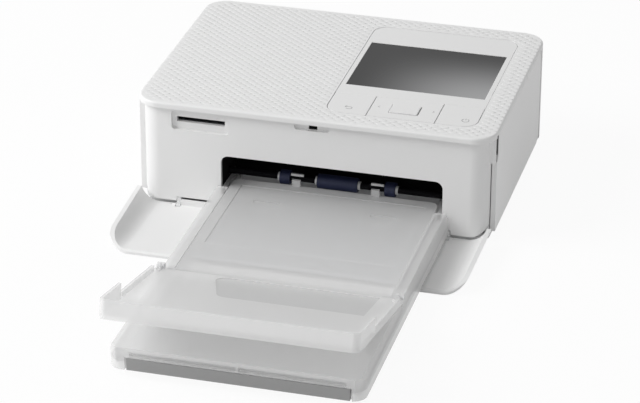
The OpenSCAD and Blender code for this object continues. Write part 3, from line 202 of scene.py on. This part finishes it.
def boardFinish():
    look = {
        "green": (0.012, 0.11, 0.045, 1),
        "lighter": (0.016, 0.14, 0.06, 1),
        "tracks": (0.02, 0.19, 0.08, 1),
        "depth": 0.03,    # mm
    }
    material, tree, shader = newMaterial("circuitBoard")
    tracks = addNode(tree, "ShaderNodeTexBrick", {"Vector": objectPlace(tree),
        "Scale": 160.0, "Color1": look["green"], "Color2": look["lighter"],
        "Mortar": look["tracks"], "Mortar Size": 0.06})
    tree.links.new(tracks.outputs["Color"], shader.inputs["Base Color"])
    shader.inputs["Roughness"].default_value = 0.35
    addBump(tree, shader, tracks.outputs["Fac"], 0.5, look["depth"])
    return material


def screenFinish():
    # tinted window over a dark display, with a painted reflection that makes it lighter
    # towards its right front corner
    look = {
        "dark": (0.002, 0.0021, 0.0026, 1),
        "light": (0.36, 0.362, 0.367, 1),
        "roughness": 0.1,
        "specular": 0.2,
    }
    low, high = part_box("screen_window")
    material, tree, shader = newMaterial("screenGlass")
    parts = addNode(tree, "ShaderNodeSeparateXYZ", {"Vector": objectPlace(tree)})
    ways = []
    for axis, start, stop in (("X", low.x, high.x), ("Y", high.y, low.y)):
        way = addNode(tree, "ShaderNodeMapRange", {"Value": parts.outputs[axis],
            "From Min": start, "From Max": stop}, interpolation_type="SMOOTHSTEP")
        ways.append(way.outputs["Result"])
    # the colour runs from dark to light across the window: a painted reflection
    paintedReflectionRamp = addNode(tree, "ShaderNodeMix", {"Factor": calculate(tree, "MULTIPLY", *ways),
        6: look["dark"], 7: look["light"]}, data_type="RGBA")
    tree.links.new(paintedReflectionRamp.outputs[2], shader.inputs["Base Color"])
    shader.inputs["Roughness"].default_value = look["roughness"]
    shader.inputs["Specular IOR Level"].default_value = look["specular"]
    return material


def pocketWithPaintedShadow():
    # the outer cover's frosted plastic, with a painted shadow that makes it darker over
    # the thin floor of its pocket
    look = {
        "middle": (10.5, -20.2, -0.7),    # mm from the hinge, along the flat cover
        "reach": (43.0, 16.2, 0.3),
        # shade is how much darker the painted shadow makes the box
        "shade": 0.22,
        "tilt": 12.6,    # degrees
    }
    joints = frame["record"]["behaviour"]["joints"]
    hinge = next(j["pos_m"] for j in joints if j["name"] == "outer_cover_hinge")
    material = frosted("coverPlastic", whiteClear, 0.44)
    tree = material.node_tree
    shader = tree.nodes["Principled BSDF"]
    moved = combine(tree, "SUBTRACT", objectPlace(tree), tuple(hinge))
    flat = addNode(tree, "ShaderNodeMapping", {"Vector": moved,
        "Rotation": (math.radians(look["tilt"]), 0.0, 0.0)})
    parts = addNode(tree, "ShaderNodeSeparateXYZ", {"Vector": flat.outputs["Vector"]})
    near = [calculate(tree, "COMPARE", parts.outputs[axis], middle * mm, reach * mm)
            for axis, middle, reach in zip("XYZ", look["middle"], look["reach"])]
    inside = calculate(tree, "MULTIPLY", calculate(tree, "MULTIPLY", *near[:2]), near[2])
    shade = spread(tree, inside, 1.0, 1.0 - look["shade"], 0.0, 1.0)
    plain = shader.inputs["Base Color"].links[0].from_socket
    tree.links.new(tinted(tree, plain, shade), shader.inputs["Base Color"])
    return material


finishes["circuit_board"] = boardFinish()
finishes["screen_glass"] = screenFinish()
ownFinish = {"cassette_outer_cover": pocketWithPaintedShadow()}
slotOf = {row["node"]: row["material_slot"] for row in frame["record"]["subparts"]}
bodyOf = {name: body for body, names in frame["record"]["behaviour"]["bodies"].items()
          for name in names}


def dress(piece, name):
    # the object's own slots take the node's finish, and its mesh stays as it is
    if not piece.material_slots:
        piece.data.materials.append(None)
    for place in piece.material_slots:
        place.link = "OBJECT"
        place.material = ownFinish.get(name, finishes[slotOf[name]])


for name, piece in nodes.items():
    dress(piece, name)
print("finishes set")


# rounded and smoothed copies of the visible pieces
edges = {    # rounding of each piece's edges, mm; 0 smooths the curved faces only
    "front_panel": 0, "front_cover": 0, "top_cover": 0.12, "base_tray": 0,
    "ink_door": 0.15, "left_side_panel": 0.15, "back_panel": 0, "control_panel": 0.12,
    "menu_key": 0.2, "power_key": 0.2, "ok_key": 0.35, "navigation_pad": 0.2,
    "cassette_tray": 0, "cassette_frame": 0, "cassette_front_bar": 0.3,
    "cassette_inner_cover": 0, "cassette_outer_cover": 0, "guide_tips": 0.2,
}
softening = {    # degrees
    "sharpFrom": 38,    # edges this sharp are rounded, or kept as they are
    "flatBelow": 0.6,
}


def finishGeometry(piece):
    # the modifiers' result becomes the plain mesh
    view = bpy.context.evaluated_depsgraph_get()
    result = bpy.data.meshes.new_from_object(piece.evaluated_get(view))
    piece.modifiers.clear()
    piece.data = result
    result.name = piece.name


def addObject(name, mesh):
    piece = bpy.data.objects.new(name, mesh)
    bpy.context.scene.collection.objects.link(piece)
    return piece


def weldedMesh(piece):
    build = bmesh.new()
    build.from_mesh(piece.data)
    bmesh.ops.remove_doubles(build, verts=build.verts, dist=weldGap)
    return build


def softCopy(name, width):
    source = nodes[name]
    mesh = source.data.copy()
    mesh.name = name + "_soft"
    sharp = math.radians(softening["sharpFrom"])
    build = weldedMesh(source)
    if width:
        flat = math.radians(softening["flatBelow"])
        bmesh.ops.dissolve_limit(build, angle_limit=flat, verts=build.verts,
                                 edges=build.edges)
    for face in build.faces:
        face.smooth = True
    for edge in build.edges:
        edge.smooth = bool(width) or edge.calc_face_angle(0) < sharp
    build.to_mesh(mesh)
    build.free()
    piece = addObject(name + "_soft", mesh)
    if width:
        rounding = piece.modifiers.new("edges", "BEVEL")
        rounding.width = width * mm
        rounding.segments = 2
        rounding.limit_method = "ANGLE"
        rounding.angle_limit = sharp
        rounding.use_clamp_overlap = False
        rounding.miter_outer = "MITER_ARC"
    level = piece.modifiers.new("flatFaces", "WEIGHTED_NORMAL")
    level.mode = "FACE_AREA"
    level.weight = 50
    level.keep_sharp = True
    finishGeometry(piece)
    dress(piece, name)
    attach(piece, bodyOf[name])
    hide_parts(name)


# node groups that repeat a small shape
def startTree(name, inputs):
    tree = bpy.data.node_groups.new(name, "GeometryNodeTree")
    tree.interface.new_socket("Geometry", in_out="OUTPUT",
                              socket_type="NodeSocketGeometry")
    sockets = {label: tree.interface.new_socket(label, in_out="INPUT",
                                                socket_type="NodeSocket" + kind)
               for label, kind in inputs.items()}
    return tree, sockets, addNode(tree, "NodeGroupInput").outputs


def endTree(tree, instances, finish):
    real = addNode(tree, "GeometryNodeRealizeInstances", {"Geometry": instances})
    finished = addNode(tree, "GeometryNodeSetMaterial",
                       {"Geometry": real.outputs["Geometry"], "Material": finish})
    out = addNode(tree, "NodeGroupOutput")
    tree.links.new(finished.outputs["Geometry"], out.inputs["Geometry"])


def growPiece(name, tree, sockets, values):
    # the group's inputs are set by the sockets' identifiers, then it is made plain
    piece = addObject(name, bpy.data.meshes.new(name))
    modifier = piece.modifiers.new("group", "NODES")
    modifier.node_group = tree
    for label, value in values.items():
        modifier[sockets[label].identifier] = value
    finishGeometry(piece)
    print(name + ":", len(piece.data.polygons), "faces")
    return piece


# diamond grain on the top cover
topGrain = {    # mm
    "columnPitch": 5.18,    # between columns of one row
    "rowPitch": 4.26,       # every other row of columns is shifted half of each
    "width": 4.9,
    "depth": 2.6,
    "height": 0.14,
    "edgeMargin": 1.0,      # smooth band at the cover's edge
    "panelMargin": 0.2,     # smooth band round the control panel
    "fade": 2.3,            # bumps shrink over this distance
    "smallest": 0.3,        # bumps below this share of the full size are left out
    "sink": 0.01,
    "coverCorner": 12,
    "panelCorner": 8,
    "panelFlange": 1.0,     # the panel's flange lies under the cover's plate
    "rings": (0.35, 0.7, 1.0),
    "sides": 10,
}


def roundBoxDistance(tree, place, centre, half, radius):
    # signed distance to a rectangle with round corners, negative inside
    moved = combine(tree, "SUBTRACT", place, (centre.x, centre.y, 0.0))
    folded = combine(tree, "ABSOLUTE", moved)
    past = combine(tree, "SUBTRACT", folded, (half.x - radius, half.y - radius, 1.0))
    clipped = combine(tree, "MAXIMUM", past, (0.0, 0.0, 0.0))
    length = addNode(tree, "ShaderNodeVectorMath", {0: clipped}, operation="LENGTH")
    outside = calculate(tree, "SUBTRACT", length.outputs["Value"], radius)
    axes = addNode(tree, "ShaderNodeSeparateXYZ", {"Vector": past})
    deepest = calculate(tree, "MAXIMUM", axes.outputs["X"], axes.outputs["Y"])
    return calculate(tree, "ADD", outside, calculate(tree, "MINIMUM", deepest, 0.0))


def makeDome(name, rings, sides):
    # unit dome with a soft rim, radius 1 and height 1
    mesh = bpy.data.meshes.new(name)
    build = bmesh.new()
    top = build.verts.new((0, 0, 1))
    loops = []
    for r in rings:
        z = math.cos(math.pi * r / 2) ** 2
        loops.append([build.verts.new((r * math.cos(2 * math.pi * i / sides),
                                       r * math.sin(2 * math.pi * i / sides), z))
                      for i in range(sides)])
    for i in range(sides):
        j = (i + 1) % sides
        build.faces.new((top, loops[0][i], loops[0][j]))
        for a, b in zip(loops, loops[1:]):
            build.faces.new((a[i], b[i], b[j], a[j]))
    build.faces.new(list(reversed(loops[-1])))
    for face in build.faces:
        face.smooth = len(face.verts) < 5
    build.to_mesh(mesh)
    build.free()
    return bpy.data.objects.new(name, mesh)


def buildGrain():
    low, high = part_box("top_cover")
    panelLow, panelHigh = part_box("control_panel")
    size = high - low
    centre = (low + high) / 2
    flange = topGrain["panelFlange"] * mm
    panelHalf = (panelHigh - panelLow) / 2 - Vector((flange, flange, 0))
    tree, sockets, given = startTree("topGrain", {"Bump": "Object", "Finish": "Material",
        "Column Pitch": "Float", "Row Pitch": "Float", "Bump Size": "Vector",
        "Fade": "Float"})
    columns = int(size.x / (topGrain["columnPitch"] * mm)) + 2
    rows = int(size.y / (topGrain["rowPitch"] * mm)) + 2
    width = calculate(tree, "MULTIPLY", given["Column Pitch"], float(columns - 1))
    depth = calculate(tree, "MULTIPLY", given["Row Pitch"], float(rows - 1))
    pitch = addNode(tree, "ShaderNodeCombineXYZ", {"X": given["Column Pitch"],
        "Y": given["Row Pitch"]}).outputs["Vector"]
    join = addNode(tree, "GeometryNodeJoinGeometry")
    for shift in (0.0, 0.5):
        grid = addNode(tree, "GeometryNodeMeshGrid", {"Size X": width, "Size Y": depth,
            "Vertices X": columns, "Vertices Y": rows})
        moved = addNode(tree, "GeometryNodeSetPosition", {
            "Geometry": grid.outputs["Mesh"], "Offset": scaled(tree, pitch, shift)})
        tree.links.new(moved.outputs["Geometry"], join.inputs["Geometry"])
    placed = addNode(tree, "GeometryNodeSetPosition", {
        "Geometry": join.outputs["Geometry"],
        "Offset": (centre.x, centre.y, high.z - topGrain["sink"] * mm)})

    # room to the cover's edge and to the panel, which lets the bumps grow
    place = addNode(tree, "GeometryNodeInputPosition").outputs["Position"]
    edge = roundBoxDistance(tree, place, centre, size / 2, topGrain["coverCorner"] * mm)
    panel = roundBoxDistance(tree, place, (panelLow + panelHigh) / 2, panelHalf,
                             topGrain["panelCorner"] * mm)
    room = calculate(tree, "MINIMUM",
        calculate(tree, "SUBTRACT", -topGrain["edgeMargin"] * mm, edge),
        calculate(tree, "SUBTRACT", panel, topGrain["panelMargin"] * mm))
    grow = spread(tree, room, 0.0, 1.0, 0.0, given["Fade"])
    bare = addNode(tree, "FunctionNodeCompare", {"A": grow, "B": topGrain["smallest"]},
                   data_type="FLOAT", operation="LESS_THAN")
    kept = addNode(tree, "GeometryNodeDeleteGeometry", {
        "Geometry": placed.outputs["Geometry"], "Selection": bare.outputs["Result"]},
        domain="POINT", mode="ALL")
    bump = addNode(tree, "GeometryNodeObjectInfo", {"Object": given["Bump"]})
    stamped = addNode(tree, "GeometryNodeInstanceOnPoints", {
        "Points": kept.outputs["Geometry"], "Instance": bump.outputs["Geometry"],
        "Scale": scaled(tree, given["Bump Size"], grow)})
    endTree(tree, stamped.outputs["Instances"], given["Finish"])

    dome = makeDome("grainBump", topGrain["rings"], topGrain["sides"])
    piece = growPiece("top_grain", tree, sockets, {
        "Bump": dome,
        "Finish": finishes["white_casing"],
        "Column Pitch": topGrain["columnPitch"] * mm,
        "Row Pitch": topGrain["rowPitch"] * mm,
        "Bump Size": (topGrain["width"] / 2 * mm, topGrain["depth"] / 2 * mm,
                      topGrain["height"] * mm),
        "Fade": topGrain["fade"] * mm,
    })
    bpy.data.objects.remove(dome)
    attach(piece, "printer")


# fine ribs along the feed rollers
rollerRibs = {
    "count": 34,      # round each roller
    "height": 0.1,    # mm above the rubber
    "width": 0.28,
    "endRoom": 0.25,
}


def rollerSpans(piece):
    # the x ranges of the separate rollers, from the mesh's connected parts
    build = weldedMesh(piece)
    left, spans = set(build.verts), []
    while left:
        reached = [left.pop()]
        xs = []
        while reached:
            vert = reached.pop()
            xs.append(vert.co.x)
            for edge in vert.link_edges:
                other = edge.other_vert(vert)
                if other in left:
                    left.remove(other)
                    reached.append(other)
        spans.append((min(xs), max(xs)))
    build.free()
    return sorted(spans)


def makeRib():
    mesh = bpy.data.meshes.new("ribBlock")
    build = bmesh.new()
    bmesh.ops.create_cube(build, size=1.0)
    for vert in build.verts:
        vert.co.y *= 2 * rollerRibs["height"] * mm
        vert.co.z *= rollerRibs["width"] * mm
    build.to_mesh(mesh)
    build.free()
    return bpy.data.objects.new("ribBlock", mesh)


def buildRibs():
    low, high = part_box("pickup_rollers")
    centre = (low + high) / 2
    tree, sockets, given = startTree("rollerRibs", {"Rib": "Object",
        "Finish": "Material", "Radius": "Float", "Count": "Int"})
    rib = addNode(tree, "GeometryNodeObjectInfo", {"Object": given["Rib"]})
    number = addNode(tree, "GeometryNodeInputIndex").outputs["Index"]
    turn = calculate(tree, "MULTIPLY", number,
                     calculate(tree, "DIVIDE", 2 * math.pi, given["Count"]))
    axes = [calculate(tree, "MULTIPLY_ADD", calculate(tree, kind, turn), given["Radius"],
                      middle)
            for kind, middle in (("COSINE", centre.y), ("SINE", centre.z))]
    spin = addNode(tree, "ShaderNodeCombineXYZ", {"X": turn})
    join = addNode(tree, "GeometryNodeJoinGeometry")
    for start, stop in rollerSpans(nodes["pickup_rollers"]):
        line = addNode(tree, "GeometryNodeMeshLine", {"Count": given["Count"]})
        spot = addNode(tree, "ShaderNodeCombineXYZ", {"X": (start + stop) / 2,
            "Y": axes[0], "Z": axes[1]})
        ring = addNode(tree, "GeometryNodeSetPosition", {
            "Geometry": line.outputs["Mesh"], "Position": spot.outputs["Vector"]})
        long = stop - start - 2 * rollerRibs["endRoom"] * mm
        stamped = addNode(tree, "GeometryNodeInstanceOnPoints", {
            "Points": ring.outputs["Geometry"], "Instance": rib.outputs["Geometry"],
            "Rotation": spin.outputs["Vector"], "Scale": (long, 1.0, 1.0)})
        tree.links.new(stamped.outputs["Instances"], join.inputs["Geometry"])
    endTree(tree, join.outputs["Geometry"], given["Finish"])

    block = makeRib()
    piece = growPiece("roller_ribs", tree, sockets, {
        "Rib": block,
        "Finish": finishes["roller_rubber"],
        "Radius": (high.y - low.y) / 2,
        "Count": rollerRibs["count"],
    })
    bpy.data.objects.remove(block)
    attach(piece, bodyOf["pickup_rollers"])


# plain marks on the keys, as thin raised lines
keyMarks = {    # mm; a place is given from the middle and the cover's front edge
    "thickness": 0.03,
    "line": 0.34,
    "power": {"at": (72.8, 19.4), "radius": 1.75, "bar": 1.5, "barStart": 0.5,
              "open": (120, 420)},    # degrees
    "back": {"at": (13.9, 18.7), "size": (3.9, 2.3), "gap": 0.2, "head": (1.0, 0.9)},
    "arrows": {"left": (28.3, 24.0), "right": (55.6, 24.9), "size": 0.9, "line": 0.272},
}


def drawMark(name, node, lines, width):
    # flat strips along the lines, standing on the node's highest face
    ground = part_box(node)[1].z
    rise = keyMarks["thickness"] * mm
    mesh = bpy.data.meshes.new(name)
    build = bmesh.new()
    for line in lines:
        points = [Vector((x * mm, y * mm, 0)) for x, y in line]
        rows = []
        for i, point in enumerate(points):
            before = points[max(i - 1, 0)]
            after = points[min(i + 1, len(points) - 1)]
            along = (after - before).normalized()
            side = Vector((-along.y, along.x, 0)) * width / 2 * mm
            left, right = point + side, point - side
            rows.append([build.verts.new((p.x, p.y, z)) for p, z in (
                (left, ground), (left, ground + rise), (right, ground + rise),
                (right, ground))])
        for a, b in zip(rows, rows[1:]):
            for i in range(4):
                j = (i + 1) % 4
                build.faces.new((a[i], b[i], b[j], a[j]))
        build.faces.new(list(reversed(rows[0])))
        build.faces.new(rows[-1])
    bmesh.ops.recalc_face_normals(build, faces=build.faces)
    build.to_mesh(mesh)
    build.free()
    piece = addObject(name, mesh)
    mesh.materials.append(finishes["bar_grey"])
    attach(piece, bodyOf[node])


def arc(x, y, radius, start, stop, steps):
    turn = [math.radians(start + (stop - start) * i / steps) for i in range(steps + 1)]
    return [(x + radius * math.cos(t), y + radius * math.sin(t)) for t in turn]


def markKeys():
    line = keyMarks["line"]
    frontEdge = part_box("top_cover")[0].y / mm

    power = keyMarks["power"]
    x, y = power["at"][0], power["at"][1] + frontEdge
    bar = y + power["barStart"]
    drawMark("power_mark", "power_key", [arc(x, y, power["radius"], *power["open"], 26),
        [(x, bar), (x, bar + power["bar"])]], line)

    back = keyMarks["back"]
    x, y = back["at"][0], back["at"][1] + frontEdge
    w, h = back["size"]
    headX, headY = back["head"]
    left, top = x - w / 2, y + h / 2
    bend = arc(x + w / 2 - h / 2, y, h / 2, 90, -90, 12)
    drawMark("back_mark", "menu_key", [
        [(left + back["gap"], top)] + bend + [(x - w / 4, y - h / 2)],
        [(left + headX, top + headY), (left, top), (left + headX, top - headY)]], line)

    arrows = keyMarks["arrows"]
    a = arrows["size"]
    for side, turn in (("left", -1), ("right", 1)):
        x, y = arrows[side][0], arrows[side][1] + frontEdge
        drawMark("arrow_" + side, "navigation_pad", [[(x - turn * a / 2, y + a),
            (x + turn * a / 2, y), (x - turn * a / 2, y - a)]], arrows["line"])


for name, width in edges.items():
    softCopy(name, width)
print("edges finished on", len(edges), "pieces")
buildGrain()
buildRibs()
markKeys()
print("keys marked")


# floor, light and camera
studio = {
    "ambient": 0.42,
    "keyPower": 23.0,
    "keyFrom": (-1.32, -0.49, 1.13),
    "keyAim": (0, 0, 0.03),
    "keySize": 1.1,
    "floorHalf": 6.0,
    "floorColour": (0.92, 0.92, 0.92, 1),
    "floorWhite": 0.93,    # how much of the seen floor is plain white
    "white": (1, 1, 1, 1),
}
shot = {
    "from": (0.340286, -1.238452, 0.673896),
    "aim": (0.014216, -0.013838, 0.033273),
    "lens": 166.42,
    "sensor": 36.0,
    "clip": (0.05, 20.0),
    "roll": 0.231,    # degrees
}


def seenWhite(tree):
    # 1 for what the camera sees directly, reflected or through clear plastic
    rays = addNode(tree, "ShaderNodeLightPath")
    seen = calculate(tree, "MAXIMUM", rays.outputs["Is Camera Ray"],
                     rays.outputs["Is Glossy Ray"])
    return calculate(tree, "MAXIMUM", seen, rays.outputs["Is Transmission Ray"])


def buildFloor():
    mesh = bpy.data.meshes.new("studio_floor")
    build = bmesh.new()
    bmesh.ops.create_grid(build, x_segments=1, y_segments=1, size=studio["floorHalf"])
    build.to_mesh(mesh)
    build.free()
    floor = addObject("studio_floor", mesh)
    material, tree, shader = newMaterial("floorWhite")
    shader.inputs["Base Color"].default_value = studio["floorColour"]
    shader.inputs["Roughness"].default_value = 0.8
    shader.inputs["Specular IOR Level"].default_value = 0.1
    part = calculate(tree, "MULTIPLY", seenWhite(tree), studio["floorWhite"])
    glow = addNode(tree, "ShaderNodeEmission", {"Color": studio["white"],
        "Strength": 1.0})
    mix = addNode(tree, "ShaderNodeMixShader", {0: part, 1: shader.outputs["BSDF"],
        2: glow.outputs["Emission"]})
    tree.links.new(mix.outputs["Shader"], tree.nodes["Material Output"].inputs["Surface"])
    mesh.materials.append(material)


def buildWorld():
    world = bpy.data.worlds.new("studioWorld")
    bpy.context.scene.world = world
    world.use_nodes = True
    tree = world.node_tree
    tree.nodes.clear()
    strength = spread(tree, seenWhite(tree), studio["ambient"], 1.0, 0.0, 1.0)
    light = addNode(tree, "ShaderNodeBackground", {"Color": studio["white"],
        "Strength": strength})
    out = addNode(tree, "ShaderNodeOutputWorld")
    tree.links.new(light.outputs["Background"], out.inputs["Surface"])


def aimFrom(item, start, aim, roll=0.0):
    # places a lamp or camera at start and turns it towards aim
    item.location = start
    item.rotation_mode = "QUATERNION"
    look = (Vector(aim) - Vector(start)).to_track_quat("-Z", "Y")
    item.rotation_quaternion = look @ Quaternion((0, 0, 1), math.radians(roll))


def buildLamp():
    lamp = bpy.data.lights.new("keyLamp", "AREA")
    lamp.energy = studio["keyPower"]
    lamp.shape = "DISK"
    lamp.size = studio["keySize"]
    aimFrom(addObject("keyLamp", lamp), studio["keyFrom"], studio["keyAim"])


def buildCamera():
    data = bpy.data.cameras.new("photoCamera")
    data.lens = shot["lens"]
    data.sensor_width = shot["sensor"]
    data.clip_start, data.clip_end = shot["clip"]
    camera = addObject("photoCamera", data)
    aimFrom(camera, shot["from"], shot["aim"], shot["roll"])
    bpy.context.scene.camera = camera


buildFloor()
buildWorld()
buildLamp()
buildCamera()
bpy.context.scene.view_settings.view_transform = "Standard"
print("studio built")
